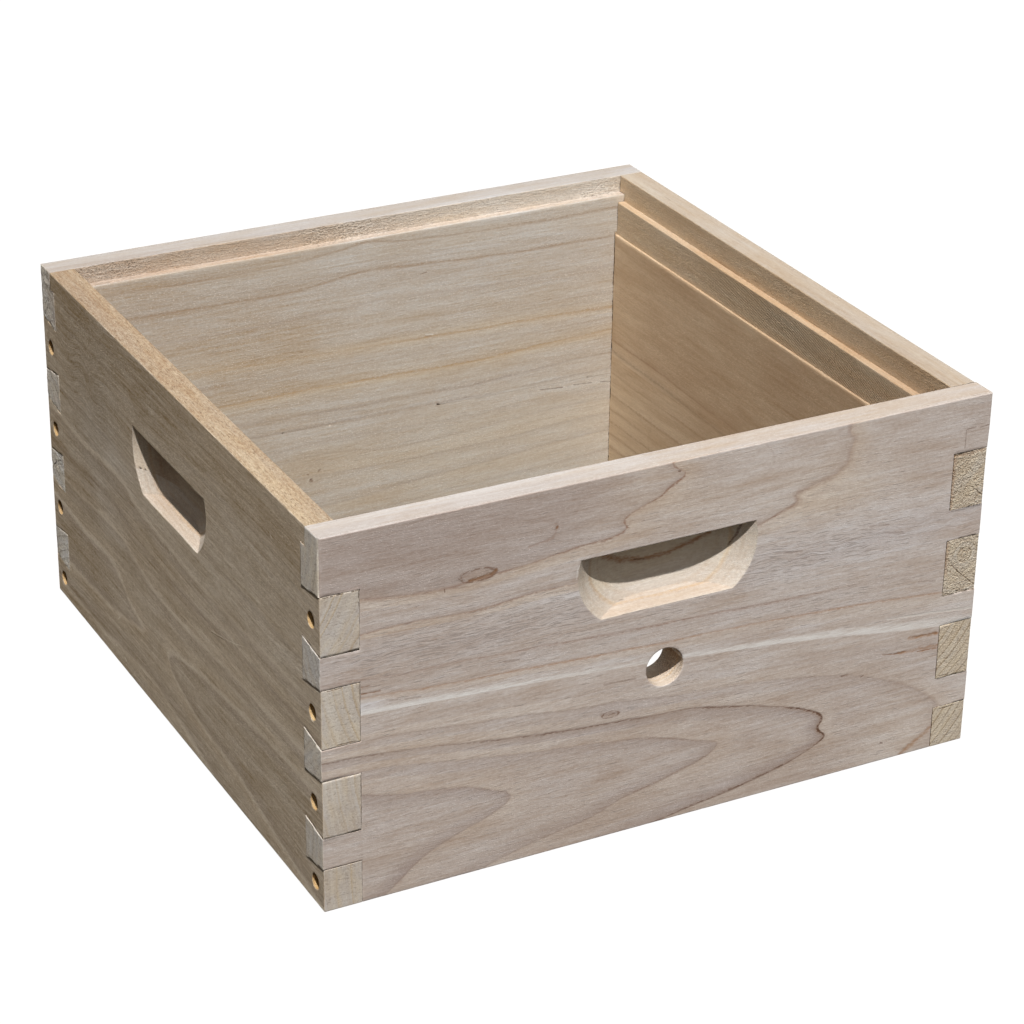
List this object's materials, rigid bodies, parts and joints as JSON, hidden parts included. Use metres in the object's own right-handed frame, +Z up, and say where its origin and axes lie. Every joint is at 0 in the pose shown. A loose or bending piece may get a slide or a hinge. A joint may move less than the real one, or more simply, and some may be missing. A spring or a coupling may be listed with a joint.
{
  "type": "hive box",
  "caption": "Square bare-wood hive box, open top and bottom, with dovetailed corners, frame rests, scooped hand holds and a round entrance hole.",
  "frame": {"origin": "centre of the bottom rim, on the surface the box stands on", "axes": "+Z up, -Y towards the front wall with the entrance hole, +X to the right seen from the front"},
  "size_m": [0.46, 0.46, 0.25],
  "materials": {
    "front_wood": "bare planed wood, greyish pink with thin brown growth lines",
    "back_wood": "bare planed wood, pale with straight ochre stripes",
    "left_wood": "bare planed wood, olive grey-brown with soft light streaks",
    "right_wood": "bare planed wood, warm tan",
    "screw_steel": "zinc plated"
  },
  "bodies": {
    "root": {"front_board": "front_wood", "back_upper_stave": "back_wood", "back_lower_stave": "back_wood", "left_upper_stave": "left_wood", "left_lower_stave": "left_wood", "right_upper_stave": "right_wood", "right_lower_stave": "right_wood", "corner_screws": "screw_steel"}
  },
  "joints": []
}
